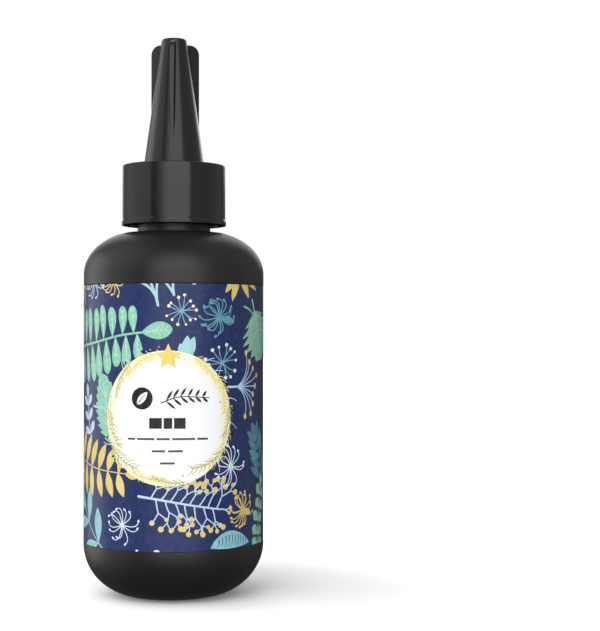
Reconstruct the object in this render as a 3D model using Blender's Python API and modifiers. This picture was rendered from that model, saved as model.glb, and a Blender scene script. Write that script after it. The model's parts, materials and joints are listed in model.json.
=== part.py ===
"""Squeeze bottle of craft resin: shell, wrap label, screw collar, tapered spout and finned over-cap.

Metres, +Z up, front towards -Y.  The origin is the centre of the base, and every turned piece is
coaxial with Z.  Sizes are written in millimetres and scaled by MM.
"""
import math

import bmesh
import bpy
from mathutils import Matrix

MM = 0.001
SEGMENTS = 64
SMALL_SEGMENTS = 48
PLUG_SEGMENTS = 24
MERGE = 1e-5
CLEARANCE = 0.35        # between pieces that touch on the real object
CUT_MARGIN = 5.0        # how far a cutter runs past what it cuts

# Bottle shell
BODY_R = 22.0
WALL = 1.2
STAND_R = 8.5           # outer edge of the flat ring it stands on
PUSH_UP_R = 6.0         # edge of the raised middle of the base
PUSH_UP_H = 0.9
HEEL_H = 12.95
SHOULDER_Z = 78.3
SHOULDER_R = 8.0        # centre of the shoulder's curve
SHOULDER_H = 10.65
LABEL_LOW = 13.35
LABEL_TOP = 75.45
RECESS = 0.6            # depth of the label panel
RECESS_SLOPE = 0.5

# Neck finish
NECK_R = 8.9
NECK_ROOT_R = 8.7
NECK_TOP = 100.5
BORE_R = 6.6
THREAD_PITCH = 3.175
THREAD_TURNS = 1.5
THREAD_SINK = 0.35      # how deep the ends of a thread run into their wall
NECK_BEAD_R = 0.9
NECK_THREAD_R = 9.0     # radius of the helix the male bead is centred on
NECK_THREAD_LOW = 93.6
BEAD_TAPER = 0.7        # share of a thread's size lost at its ends

# Closure stack above the neck
FOIL_R = NECK_ROOT_R - 0.1
FOIL_T = 0.3
GASKET_R = NECK_ROOT_R + 0.6
GASKET_T = 0.8
FLANGE_R = 9.55
FLANGE_T = 1.0
LIP_T = 1.35

# Collar ring
COLLAR_R = 12.62
COLLAR_LOW = 90.4
COLLAR_TOP = 105.1
COLLAR_EDGE = 0.4       # round of the top edge
COLLAR_BEAD_R = 12.8    # plain bead round the foot
COLLAR_BEAD_H = 1.35
COLLAR_BEAD_SLOPE = 0.3
COLLAR_CHAMFER = 0.25
COLLAR_ROOT_R = 10.45
COLLAR_THREAD_R = 10.35
COLLAR_BEAD_SIZE = 0.75
COLLAR_TURNS = 1.25
LIP_HOLE_R = 7.5

# Spout and over-cap share one taper
CAP_LOW = 105.45
CAP_TOP = 136.4
CAP_BASE_R = 7.42
CAP_TIP_R = 3.05
CAP_WALL = 1.05
CAP_EDGE = 0.5
CAP_CROWN = 1.6         # thickness of the closed tip
FIN_COUNT = 3
FIN_T = 0.95
FIN_R = 6.6
FIN_ROOT_R = 2.5        # inside the cone's wall, before the cone is hollowed
FIN_TOP = 135.3
FIN_LOW = 108.0
FIN_CORNER = 2.3
FIN_TURN = math.radians(-90.0)
SPOUT_WALL = 1.1
SPOUT_TIP = 128.6
SPOUT_TIP_CHAMFER = 0.4
SPOUT_ORIFICE_R = 0.9
SPOUT_ORIFICE_H = 2.4   # straight length of the orifice
SPOUT_FUNNEL_H = 4.0    # tip to where the bore starts to close in
SPOUT_SEAT_R = 7.0
SPOUT_SEAT_STEP = 0.25
SPOUT_SEAT_H = 0.6
PLUG_NOSE_R = 0.5
PLUG_NOSE_LOW = 127.2
PLUG_NOSE_POINT = 0.3

# Label and contents
LABEL_T = 0.25
SEAM_TURN = math.radians(3.0)
FILL_TOP = 77.6


def clear_scene():
    for obj in list(bpy.data.objects):
        bpy.data.objects.remove(obj, do_unlink=True)


def make_material(name, colour, roughness, metallic=0.0):
    material = bpy.data.materials.new(name)
    material.use_nodes = True
    shader = material.node_tree.nodes["Principled BSDF"]
    shader.inputs["Base Color"].default_value = (*colour, 1.0)
    shader.inputs["Roughness"].default_value = roughness
    shader.inputs["Metallic"].default_value = metallic
    return material


def add_object(name, mesh, material, collection):
    obj = bpy.data.objects.new(name, mesh)
    collection.objects.link(obj)
    obj.data.materials.append(material)
    return obj


def arc(centre_r, centre_z, size_r, size_z, start, end, steps):
    """Points on an ellipse's arc, as (radius, height), with angles in degrees from +R."""
    points = []
    for i in range(steps + 1):
        angle = math.radians(start + (end - start) * i / steps)
        points.append((centre_r + size_r * math.cos(angle), centre_z + size_z * math.sin(angle)))
    return points


def profile_mesh(name, profile, closed):
    """Vertices and edges of an outline in the XZ plane, down its outer side."""
    verts = [(r * MM, 0.0, z * MM) for r, z in profile]
    edges = [(i, i + 1) for i in range(len(verts) - 1)]
    if closed:
        edges.append((len(verts) - 1, 0))
    mesh = bpy.data.meshes.new(name)
    mesh.from_pydata(verts, edges, [])
    return mesh


def turned(name, profile, material, collection, closed=False, segments=SEGMENTS):
    """A body of revolution about Z from a profile that runs down its outer side."""
    obj = add_object(name, profile_mesh(name, profile, closed), material, collection)
    screw = obj.modifiers.new("Turn", "SCREW")
    screw.axis = "Z"
    screw.steps = segments
    screw.render_steps = segments
    screw.use_merge_vertices = True
    screw.merge_threshold = MERGE
    screw.use_smooth_shade = True
    return obj


def applied(obj):
    """The object's evaluated mesh, welded, in place of its modifiers."""
    bpy.context.view_layer.update()
    graph = bpy.context.evaluated_depsgraph_get()
    mesh = bpy.data.meshes.new_from_object(obj.evaluated_get(graph))
    work = bmesh.new()
    work.from_mesh(mesh)
    bmesh.ops.remove_doubles(work, verts=work.verts, dist=MERGE)
    bmesh.ops.recalc_face_normals(work, faces=work.faces)
    work.to_mesh(mesh)
    work.free()
    return mesh


def join(target, tool):
    union = target.modifiers.new(tool.name, "BOOLEAN")
    union.operation = "UNION"
    union.object = tool


def as_guide(obj):
    obj.hide_render = True
    obj.display_type = "WIRE"


def thread_bead(name, helix_r, root_r, low, turns, bead_r, material, guides):
    """A round bead along a right-hand helix, whose ends shrink and run into the wall at root_r."""
    steps_per_turn = 22
    fade_steps = 4
    count = int(steps_per_turn * turns)
    curve = bpy.data.curves.new(name, "CURVE")
    curve.dimensions = "3D"
    curve.bevel_depth = bead_r * MM
    curve.bevel_resolution = 2
    curve.use_fill_caps = True
    spline = curve.splines.new("POLY")
    spline.points.add(count)
    for i, point in enumerate(spline.points):
        angle = 2.0 * math.pi * i / steps_per_turn
        height = low + THREAD_PITCH * i / steps_per_turn
        fade = max(0.0, 1.0 - min(i, count - i) / fade_steps)
        radius = helix_r + (root_r - helix_r) * fade
        x = radius * math.cos(angle)
        y = radius * math.sin(angle)
        point.co = (x * MM, y * MM, height * MM, 1.0)
        point.radius = 1.0 - BEAD_TAPER * fade
    route = bpy.data.objects.new(name + "_route", curve)
    guides.objects.link(route)
    bead = add_object(name, applied(route), material, guides)
    bpy.data.objects.remove(route, do_unlink=True)
    as_guide(bead)
    return bead


def body_outline():
    """The shell's outside, from the neck's land down to the middle of the base."""
    recess_r = BODY_R - RECESS
    shoulder = arc(SHOULDER_R, SHOULDER_Z, BODY_R - SHOULDER_R, SHOULDER_H, 87.0, 0.0, 10)
    heel = arc(STAND_R, HEEL_H, BODY_R - STAND_R, HEEL_H, 0.0, -90.0, 10)
    return [
        (NECK_ROOT_R, NECK_TOP),
        (NECK_ROOT_R, COLLAR_LOW + 1.0),
        (NECK_R, COLLAR_LOW + 0.4),
        (NECK_R, SHOULDER_Z + SHOULDER_H + 0.2),
        *shoulder,
        (BODY_R, LABEL_TOP + CLEARANCE),
        (recess_r, LABEL_TOP + CLEARANCE - RECESS_SLOPE / 2),
        (recess_r, LABEL_LOW - CLEARANCE + RECESS_SLOPE / 2),
        (BODY_R, LABEL_LOW - CLEARANCE),
        *heel[1:],
        (PUSH_UP_R + 0.8, 0.0),
        (PUSH_UP_R, PUSH_UP_H * 0.7),
        (0.0, PUSH_UP_H),
    ]


def cavity_outline():
    """The shell's inside, from the middle of its floor up to the neck's bore."""
    inner_r = BODY_R - RECESS - WALL
    heel = arc(STAND_R, HEEL_H, inner_r - STAND_R, HEEL_H - PUSH_UP_H - WALL, -90.0, 0.0, 8)
    shoulder = arc(BORE_R, SHOULDER_Z, inner_r - BORE_R, SHOULDER_H - WALL, 0.0, 80.0, 8)
    return [
        (0.0, PUSH_UP_H + WALL),
        *heel,
        *shoulder,
        (BORE_R, SHOULDER_Z + SHOULDER_H),
        (BORE_R, NECK_TOP),
    ]


def make_bottle(material, parts, guides):
    bottle = turned("bottle", cavity_outline() + body_outline(), material, parts)
    sunk_r = NECK_ROOT_R - THREAD_SINK
    join(bottle, thread_bead("neck_thread", NECK_THREAD_R, sunk_r, NECK_THREAD_LOW, THREAD_TURNS,
                             NECK_BEAD_R, material, guides))


def make_label(material, parts):
    """A thin sleeve in the bottle's panel, with its seam open at the back."""
    label = turned("wrap_label", [(BODY_R, LABEL_TOP), (BODY_R, LABEL_LOW)], material, parts)
    label.modifiers["Turn"].angle = 2.0 * math.pi - SEAM_TURN
    label.rotation_euler.z = (math.pi + SEAM_TURN) / 2
    film = label.modifiers.new("Film", "SOLIDIFY")
    film.thickness = LABEL_T * MM
    film.offset = -1.0


def make_resin(material, parts):
    """The liquid, a little inside the shell, up to its level below the shoulder."""
    floor = PUSH_UP_H + WALL + CLEARANCE
    outer_r = BODY_R - RECESS - WALL - CLEARANCE
    heel = arc(STAND_R, HEEL_H, outer_r - STAND_R, HEEL_H - floor, 0.0, -90.0, 7)
    profile = [(0.0, FILL_TOP), (outer_r, FILL_TOP), *heel, (0.0, floor)]
    turned("resin_fill", profile, material, parts, segments=SMALL_SEGMENTS)


def disc(name, outer_r, low, thickness, material, parts):
    profile = [(0.0, low + thickness), (outer_r, low + thickness), (outer_r, low), (0.0, low)]
    turned(name, profile, material, parts, segments=SMALL_SEGMENTS)


def washer(name, outer_r, inner_r, low, thickness, material, parts):
    top = low + thickness
    profile = [(inner_r, top), (outer_r, top), (outer_r, low), (inner_r, low)]
    turned(name, profile, material, parts, closed=True, segments=SMALL_SEGMENTS)


def stack_heights():
    """Bottoms of the foil, the gasket, the spout's flange and the collar's lip."""
    foil = NECK_TOP + CLEARANCE * 0.6
    gasket = foil + FOIL_T + CLEARANCE * 0.6
    flange = gasket + GASKET_T + CLEARANCE * 0.6
    lip = COLLAR_TOP - LIP_T
    return foil, gasket, flange, lip


def cap_radius(height):
    """Outer radius of the over-cap's cone at a height."""
    share = (height - CAP_LOW) / (CAP_TOP - CAP_LOW)
    return CAP_BASE_R + (CAP_TIP_R - CAP_BASE_R) * share


def spout_radius(height):
    """Outer radius of the spout's nozzle, a little inside the over-cap's wall."""
    return cap_radius(height) - CAP_WALL - CLEARANCE


def make_spout(material, parts):
    """A flange under the collar's lip, a seat for the over-cap and a tapered nozzle."""
    flange = stack_heights()[2]
    top_of_flange = flange + FLANGE_T
    seat = CAP_LOW - CLEARANCE
    taper_low = seat + SPOUT_SEAT_H
    bore_low = spout_radius(CAP_LOW) - SPOUT_WALL
    bore_high_z = SPOUT_TIP - SPOUT_FUNNEL_H
    bore_high = spout_radius(bore_high_z) - SPOUT_WALL
    tip_r = spout_radius(SPOUT_TIP)
    profile = [
        (tip_r - SPOUT_TIP_CHAMFER, SPOUT_TIP),
        (tip_r, SPOUT_TIP - SPOUT_TIP_CHAMFER),
        (spout_radius(taper_low), taper_low),
        (spout_radius(taper_low) + SPOUT_SEAT_STEP, seat),
        (SPOUT_SEAT_R, seat),
        (SPOUT_SEAT_R, top_of_flange),
        (FLANGE_R, top_of_flange),
        (FLANGE_R, flange),
        (bore_low + SPOUT_SEAT_H, flange),
        (bore_low, CAP_LOW),
        (bore_high, bore_high_z),
        (SPOUT_ORIFICE_R, SPOUT_TIP - SPOUT_ORIFICE_H),
        (SPOUT_ORIFICE_R, SPOUT_TIP),
    ]
    turned("spout", profile, material, parts, closed=True, segments=SMALL_SEGMENTS)


def make_collar(material, parts, guides):
    """A smooth screw ring with a plain bead at its foot and a lip over the spout's flange."""
    lip = stack_heights()[3]
    bead_top = COLLAR_LOW + COLLAR_BEAD_H
    edge_z = COLLAR_TOP - COLLAR_EDGE
    profile = [
        (LIP_HOLE_R, COLLAR_TOP),
        *arc(COLLAR_R - COLLAR_EDGE, edge_z, COLLAR_EDGE, COLLAR_EDGE, 90.0, 0.0, 3),
        (COLLAR_R, bead_top + COLLAR_BEAD_SLOPE),
        (COLLAR_BEAD_R, bead_top),
        (COLLAR_BEAD_R, COLLAR_LOW + COLLAR_CHAMFER),
        (COLLAR_BEAD_R - COLLAR_CHAMFER, COLLAR_LOW),
        (COLLAR_ROOT_R + COLLAR_CHAMFER, COLLAR_LOW),
        (COLLAR_ROOT_R, COLLAR_LOW + COLLAR_CHAMFER),
        (COLLAR_ROOT_R, lip),
        (LIP_HOLE_R, lip),
    ]
    collar = turned("collar_ring", profile, material, parts, closed=True)
    sunk_r = COLLAR_ROOT_R + THREAD_SINK
    start = NECK_THREAD_LOW + THREAD_PITCH / 2
    join(collar, thread_bead("collar_thread", COLLAR_THREAD_R, sunk_r, start, COLLAR_TURNS,
                             COLLAR_BEAD_SIZE, material, guides))


def make_fin(name, turn, material, guides):
    """One flat grip fin, drawn upright and turned about Z, with its outer top corner rounded."""
    low_r = cap_radius(FIN_LOW) - CAP_WALL / 2
    outline = [(FIN_ROOT_R, FIN_TOP)]
    outline += arc(FIN_R - FIN_CORNER, FIN_TOP - FIN_CORNER, FIN_CORNER, FIN_CORNER, 90.0, 0.0, 5)
    outline += [(FIN_R, FIN_LOW), (low_r, FIN_LOW)]
    curve = bpy.data.curves.new(name, "CURVE")
    curve.dimensions = "2D"
    curve.fill_mode = "BOTH"
    curve.extrude = FIN_T * MM / 2
    spline = curve.splines.new("POLY")
    spline.points.add(len(outline) - 1)
    spline.use_cyclic_u = True
    for point, (r, z) in zip(spline.points, outline):
        point.co = (r * MM, z * MM, 0.0, 1.0)
    flat = bpy.data.objects.new(name + "_outline", curve)
    guides.objects.link(flat)
    fin = add_object(name, applied(flat), material, guides)
    bpy.data.objects.remove(flat, do_unlink=True)
    fin.matrix_world = Matrix.Rotation(turn, 4, "Z") @ Matrix.Rotation(math.pi / 2, 4, "X")
    as_guide(fin)
    return fin


def cap_cavity():
    """Inside outline of the over-cap, from the middle of its crown down to its mouth."""
    crown = CAP_TOP - CAP_CROWN
    return [
        (0.0, crown),
        (cap_radius(crown) - CAP_WALL, crown),
        (cap_radius(CAP_LOW) - CAP_WALL, CAP_LOW),
    ]


def make_overcap(material, parts, guides):
    """A hollow cone closed at its tip, with three flat fins to grip it by."""
    edge = arc(CAP_TIP_R - CAP_EDGE, CAP_TOP - CAP_EDGE, CAP_EDGE, CAP_EDGE, 90.0, 0.0, 3)
    profile = [(0.0, CAP_TOP), *edge, (CAP_BASE_R, CAP_LOW), *reversed(cap_cavity())]
    cone = turned("overcap", profile, material, parts)
    for i in range(FIN_COUNT):
        turn = FIN_TURN + 2.0 * math.pi * i / FIN_COUNT
        join(cone, make_fin("fin_%d" % (i + 1), turn, material, guides))
    mouth_r = cap_cavity()[-1][0]
    below = CAP_LOW - CUT_MARGIN
    core = turned("cavity_core", [*cap_cavity(), (mouth_r, below), (0.0, below)], material, guides)
    as_guide(core)
    cut = cone.modifiers.new("Hollow", "BOOLEAN")
    cut.operation = "DIFFERENCE"
    cut.object = core


def make_tip_seal(material, parts):
    """A soft plug in the over-cap's crown, with a nose that closes the spout's orifice."""
    top = CAP_TOP - CAP_CROWN - CLEARANCE
    shoulder = SPOUT_TIP + CLEARANCE
    profile = [
        (0.0, top),
        (spout_radius(top), top),
        (spout_radius(shoulder), shoulder),
        (PLUG_NOSE_R, shoulder),
        (PLUG_NOSE_R, PLUG_NOSE_LOW + PLUG_NOSE_POINT),
        (0.0, PLUG_NOSE_LOW),
    ]
    turned("tip_seal", profile, material, parts, segments=PLUG_SEGMENTS)


def main():
    clear_scene()
    parts = bpy.data.collections.new("resin_bottle")
    guides = bpy.data.collections.new("cutters")
    for collection in (parts, guides):
        bpy.context.scene.collection.children.link(collection)

    black_shell = make_material("black_shell", (0.012, 0.012, 0.014), 0.42)
    black_closure = make_material("black_closure", (0.015, 0.015, 0.017), 0.38)
    printed_film = make_material("printed_film", (0.03, 0.033, 0.15), 0.35)
    resin = make_material("resin", (0.75, 0.78, 0.80), 0.08)
    foil = make_material("foil", (0.80, 0.80, 0.80), 0.25, 1.0)
    foam = make_material("foam", (0.85, 0.85, 0.82), 0.85)
    clear_spout = make_material("clear_spout", (0.70, 0.72, 0.72), 0.30)
    soft_plug = make_material("soft_plug", (0.60, 0.60, 0.58), 0.60)

    foil_low, gasket_low = stack_heights()[:2]
    make_bottle(black_shell, parts, guides)
    make_label(printed_film, parts)
    make_resin(resin, parts)
    disc("foil_seal", FOIL_R, foil_low, FOIL_T, foil, parts)
    washer("neck_gasket", GASKET_R, BORE_R, gasket_low, GASKET_T, foam, parts)
    make_spout(clear_spout, parts)
    make_collar(black_closure, parts, guides)
    make_tip_seal(soft_plug, parts)
    make_overcap(black_closure, parts, guides)


main()
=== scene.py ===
"""Looks of the resin squeeze bottle: moulded shell, printed wrap label, closure and studio.

Lengths are in millimetres and scaled by MM where a mesh is made, unless a comment says otherwise.
The label's art is drawn flat, as (u, z): u is the distance round the label from its front, to the
viewer's right, and z is the height.
"""
import json
import random
from math import atan2, cos, degrees, exp, pi, radians, sin, sqrt

import bmesh
import bpy
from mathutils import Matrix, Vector
from mathutils.geometry import delaunay_2d_cdt

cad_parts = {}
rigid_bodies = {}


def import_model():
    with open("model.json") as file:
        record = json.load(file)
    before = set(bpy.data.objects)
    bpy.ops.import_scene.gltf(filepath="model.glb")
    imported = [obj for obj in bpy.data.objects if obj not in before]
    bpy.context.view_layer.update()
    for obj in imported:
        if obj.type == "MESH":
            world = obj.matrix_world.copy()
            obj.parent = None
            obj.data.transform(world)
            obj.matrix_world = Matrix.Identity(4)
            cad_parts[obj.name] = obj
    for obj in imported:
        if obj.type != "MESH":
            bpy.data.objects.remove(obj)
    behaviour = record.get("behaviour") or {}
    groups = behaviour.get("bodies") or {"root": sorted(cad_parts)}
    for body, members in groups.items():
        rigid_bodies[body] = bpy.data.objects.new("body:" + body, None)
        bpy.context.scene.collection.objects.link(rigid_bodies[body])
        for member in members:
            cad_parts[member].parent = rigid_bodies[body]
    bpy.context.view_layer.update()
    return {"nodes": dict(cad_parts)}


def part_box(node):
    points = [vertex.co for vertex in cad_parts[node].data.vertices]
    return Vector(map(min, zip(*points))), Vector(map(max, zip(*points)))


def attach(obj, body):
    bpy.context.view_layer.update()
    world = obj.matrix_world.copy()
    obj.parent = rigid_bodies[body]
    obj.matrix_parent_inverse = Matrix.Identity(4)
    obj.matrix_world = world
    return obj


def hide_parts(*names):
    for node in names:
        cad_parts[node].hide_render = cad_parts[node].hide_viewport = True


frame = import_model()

MM = 0.001
WHITE = (1.0, 1.0, 1.0)


def sizes(node):
    """Outer radius, lowest and highest height of a CAD node, in millimetres."""
    low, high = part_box(node)
    return high.x / MM, low.z / MM, high.z / MM


# ---------------------------------------------------------------- sizes

BODY_R, _, NECK_TOP = sizes("bottle")
LABEL_R, LABEL_LOW, LABEL_TOP = sizes("wrap_label")
COLLAR_FOOT_R, COLLAR_LOW, COLLAR_TOP = sizes("collar_ring")
FLANGE_R, FLANGE_LOW, SPOUT_TIP = sizes("spout")
CAP_BASE_R, CAP_LOW, CAP_TOP = sizes("overcap")

# Shell: the CAD shell's sizes, but with a shallower label panel and a dip at the neck's foot
WALL = 1.2
RECESS = 0.6            # depth of the CAD's panel, which the inside allows for
PANEL_DEPTH = 0.12
PANEL_ROUND = 0.12
STAND_R = 8.5
PUSH_UP_R = 6.0
PUSH_UP_H = 0.9
HEEL_H = 12.95
SHOULDER_Z = 78.3
SHOULDER_R = 8.0
SHOULDER_H = 10.65
SHOULDER_DIP = 0.35     # how far the shoulder sinks where it meets the neck
DIP_REACH = 2.2
NECK_R = 8.9
NECK_ROOT_R = 8.7
NECK_ROUND = 0.3
THREAD_FOOT = 93.0
BORE_R = 6.6
PARTING_H = 0.05        # height of the mould's parting line
PARTING_W = 0.16
PARTING_LOW = 4.0
PARTING_STEPS = (-1.4, -0.9, -0.6, -0.35, 0.35, 0.6, 0.9, 1.4)     # degrees, for a fine mesh there

# Threads
PITCH = 3.175
THREAD_LOW = 93.6
THREAD_SINK = 0.35      # how deep the ends of a thread run into their wall
NECK_HELIX_R = 9.0
NECK_BEAD = 0.9
NECK_TURNS = 1.5
COLLAR_HELIX_R = 10.35
COLLAR_BEAD = 0.75
COLLAR_TURNS = 1.25

# Collar
COLLAR_R = 12.62
COLLAR_ROOT_R = 10.45
COLLAR_BAND_H = 1.1
LIP_HOLE_R = 7.5
LIP_T = 1.35

# Spout and over-cap
CAP_TIP_R = 3.05
CAP_TIP_ROUND = 0.42
CAP_WALL = 1.05
CAP_CROWN = 1.6         # thickness of the over-cap's closed tip
CAP_RIM = 0.15          # height of the bevel round its open end
TAPER_GAP = 0.35
FIN_COUNT = 3
FIN_T = 0.95
FIN_R = 6.6
FIN_TOP = 135.3
FIN_CORNER = 2.3
FIN_EDGE = 0.25         # rounding of a fin's outer edge
FIN_ROOT = 0.22         # rounding where a fin meets the cone
FIN_LOW = 106.5         # the fins fade into the cone above this height
FIN_TURN = radians(-90.0)
FIN_STEPS = (0, 1.2, 2.4, 3.1, 3.5, 3.8, 4.1, 4.4, 4.8, 5.2, 5.7, 6.2, 6.8, 7.5, 8.2, 9, 10, 11, 12.5,
             14.5, 17, 20, 24, 29, 34, 40, 46, 52, 58)     # degrees from a fin, for a fine mesh there
CREASE_DEPTH = 0.12
CREASE_WIDTH = 0.16
SPOUT_WALL = 1.1
ORIFICE_R = 0.9
SEAT_R = 7.0
FLANGE_T = 1.0

# Label sheet
SEAM_TURN = radians(3.0)
SHEET_HALF = LABEL_R * (pi - SEAM_TURN / 2)
RULING = 1.5            # spacing of the lines that let the flat sheet curve
FILM_EDGE = 0.1
MEDAL = (0.35, 44.2)    # centre of the white disc
MEDAL_R = 15.75
ART_SEED = 11

# Looks.  The edge sensor reads 0.5 on the flat, more along edges and less in creases.
WORN_EDGE = (0.54, 0.62)
# Pointiness range over which creases get a dimmer reflection, and the gloss left there: painted shade.
CREASE_SHADE_RANGE = (0.45, 0.49)
CREASE_SHADE_GLOSS = 0.06
PLASTIC_GLOSS = 0.42
FILM_GLOSS = 0.26
UNDERSIDE_SHADE_FADE = (0.00001, 0.00004)      # metres above its foot over which the collar's gloss comes in; below it the underside's reflection is taken away as painted shade

# Studio, in metres
AIM = Vector((0.0, 0.0, 0.06))
ROOM_LIGHT = 0.12       # radiance of the room outside the soft boxes
FLOOR_SIZE = 4.0
FLOOR_DROP = 0.00004
# Painted shade on the floor: its glow is weaker within this reach of this centre.
SHADE_POOL_CENTRE = (0.020, 0.0, 0.0)
FLOOR_GLOW_WITH_SHADE = (0.10, 0.42)     # the floor's own glow, near the bottle and far from it; weaker near the bottle as painted shade
SHADE_POOL_REACH = (0.034, 0.085)
SHADOW_SUN = 1.7
SHADOW_SOFTNESS = radians(80.0)
SHADOW_WAY = (radians(-42.0), 0.0, radians(128.0))
SENSOR = 36.0           # in millimetres, as the lens
LENS = 84.44
CAMERA_PLACE = (0.03105, -0.3646, 0.0635)
CAMERA_TILT = radians(90.755)


# ---------------------------------------------------------------- mesh helpers

def arc(centre_r, centre_z, size_r, size_z, start, end, steps):
    """Points on an ellipse's arc, angles in degrees from +r."""
    points = []
    for i in range(steps + 1):
        angle = radians(start + (end - start) * i / steps)
        points.append((centre_r + size_r * cos(angle), centre_z + size_z * sin(angle)))
    return points


def rounded(corners, steps=4):
    """A polyline from (r, z, fillet) corners, each corner turned into a smooth bend."""
    points = []
    last = len(corners) - 1
    for i, (r, z, fillet) in enumerate(corners):
        here = Vector((r, z))
        if fillet == 0.0 or i in (0, last):
            points.append((r, z))
            continue
        before = Vector(corners[i - 1][:2]) - here
        after = Vector(corners[i + 1][:2]) - here
        reach = min(fillet, before.length * 0.49, after.length * 0.49)
        start = here + before.normalized() * reach
        end = here + after.normalized() * reach
        for k in range(steps + 1):
            t = k / steps
            point = start * (1 - t) ** 2 + here * 2 * t * (1 - t) + end * t ** 2
            points.append((point.x, point.y))
    return points


def ring_angles(count, extra=()):
    """Evenly spaced angles in radians, and some more in degrees where detail is fine."""
    angles = {round(2 * pi * i / count, 7) for i in range(count)}
    angles |= {round(radians(a) % (2 * pi), 7) for a in extra}
    ordered = sorted(angles)
    kept = [ordered[0]]
    for angle in ordered[1:]:
        if angle - kept[-1] > 1e-4:
            kept.append(angle)
    return kept


def add_object(name, data):
    """A new object, linked to the scene."""
    obj = bpy.data.objects.new(name, data)
    bpy.context.scene.collection.objects.link(obj)
    return obj


def dress(obj, material):
    """Gives an object one material, in place of any it has."""
    obj.data.materials.clear()
    obj.data.materials.append(material)


def shade(mesh, sharp=35.0):
    """Smooth shading, with edges sharper than an angle in degrees kept crisp."""
    mesh.shade_smooth()
    mesh.set_sharp_from_angle(angle=radians(sharp))


def finish_mesh(name, work, sharp=35.0):
    """An object from a bmesh."""
    bmesh.ops.recalc_face_normals(work, faces=work.faces)
    mesh = bpy.data.meshes.new(name)
    work.to_mesh(mesh)
    work.free()
    shade(mesh, sharp)
    return add_object(name, mesh)


def skin(work, rings, closed_profile):
    """Faces between neighbouring rings, each a list of vertices or one vertex on the axis."""
    pairs = list(zip(rings, rings[1:]))
    if closed_profile:
        pairs.append((rings[-1], rings[0]))
    for upper, lower in pairs:
        count = max(len(upper), len(lower))
        for i in range(count):
            k = (i + 1) % count
            corners = []
            for ring, order in ((upper, (i, k)), (lower, (k, i))):
                corners += [ring[0]] if len(ring) == 1 else [ring[order[0]], ring[order[1]]]
            work.faces.new(corners)


def lathe(name, profile, angles, offset=None, closed=False, sharp=35.0):
    """A turned piece.  offset(angle, r, z) adds to the radius, for what isn't quite round."""
    work = bmesh.new()
    rings = []
    for r, z in profile:
        if r < 1e-6:
            rings.append([work.verts.new((0.0, 0.0, z * MM))])
            continue
        ring = []
        for angle in angles:
            radius = r + (offset(angle, r, z) if offset else 0.0)
            position = (radius * cos(angle) * MM, radius * sin(angle) * MM, z * MM)
            ring.append(work.verts.new(position))
        rings.append(ring)
    skin(work, rings, closed)
    return finish_mesh(name, work, sharp)


def tube(name, points, radii, sides=12):
    """A closed round tube along points, with its own radius at each."""
    work = bmesh.new()
    rings = []
    for i, point in enumerate(points):
        ahead = points[min(i + 1, len(points) - 1)] - points[max(i - 1, 0)]
        across = Vector((0.0, 0.0, 1.0)).cross(ahead).normalized()
        up = ahead.cross(across).normalized()
        ring = []
        for k in range(sides):
            angle = 2 * pi * k / sides
            spread = across * cos(angle) + up * sin(angle)
            ring.append(work.verts.new((point + spread * radii[i]) * MM))
        rings.append(ring)
    skin(work, rings, False)
    work.faces.new(rings[0])
    work.faces.new(rings[-1])
    return finish_mesh(name, work)


def helix_bead(name, helix_r, sunk_r, low, turns, bead):
    """A round bead on a right-hand helix whose ends shrink into the wall."""
    per_turn = 48
    fade_steps = 9
    count = int(per_turn * turns)
    points = []
    radii = []
    for i in range(count + 1):
        fade = max(0.0, 1.0 - min(i, count - i) / fade_steps)
        radius = helix_r + (sunk_r - helix_r) * fade
        angle = 2 * pi * i / per_turn
        height = low + PITCH * i / per_turn
        points.append(Vector((radius * cos(angle), radius * sin(angle), height)))
        radii.append(bead * (1.0 - 0.7 * fade))
    return tube(name, points, radii)


def unite(target, tool):
    """Joins tool to target as one closed mesh, and removes tool."""
    union = target.modifiers.new("Join", "BOOLEAN")
    union.operation = "UNION"
    union.object = tool
    bpy.context.view_layer.update()
    graph = bpy.context.evaluated_depsgraph_get()
    joined = bpy.data.meshes.new_from_object(target.evaluated_get(graph))
    target.modifiers.clear()
    target.data = joined
    shade(joined)
    bpy.data.objects.remove(tool, do_unlink=True)


# ---------------------------------------------------------------- materials

def linear(red, green, blue):
    """A display colour, 0 to 255, as linear light."""
    out = []
    for value in (red, green, blue):
        share = value / 255
        out.append(share / 12.92 if share <= 0.04045 else ((share + 0.055) / 1.055) ** 2.4)
    return tuple(out)


class Graph:
    """A tree of shader nodes, with short ways to add them."""

    def __init__(self, tree):
        self.tree = tree

    def feed(self, socket, value):
        """Gives a node's input a link, a number or a triple."""
        if isinstance(value, bpy.types.NodeSocket):
            self.tree.links.new(value, socket)
        elif socket.type == "RGBA":
            socket.default_value = (*value, 1.0)
        else:
            socket.default_value = value

    def add(self, kind, inputs=None, **settings):
        """A node with its settings, and its inputs by name or number."""
        node = self.tree.nodes.new("ShaderNode" + kind)
        for name, value in settings.items():
            setattr(node, name, value)
        for key, value in (inputs or {}).items():
            self.feed(node.inputs[key], value)
        return node

    def math(self, operation, *values):
        return self.add("Math", dict(enumerate(values)), operation=operation).outputs["Value"]

    def spread(self, value, low, high, from_low=0.3, from_high=0.7, step="LINEAR"):
        """value, stretched from one range to another."""
        inputs = {"Value": value, "From Min": from_low, "From Max": from_high, "To Min": low, "To Max": high}
        return self.add("MapRange", inputs, interpolation_type=step).outputs["Result"]

    def distance(self, place, centre):
        """How far a place is from a point."""
        return self.add("VectorMath", {0: place, 1: centre}, operation="DISTANCE").outputs["Value"]

    def mix(self, share, first, second):
        """A colour between two, each a colour triple or a socket."""
        return self.add("Mix", {0: share, 6: first, 7: second}, data_type="RGBA").outputs[2]


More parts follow.
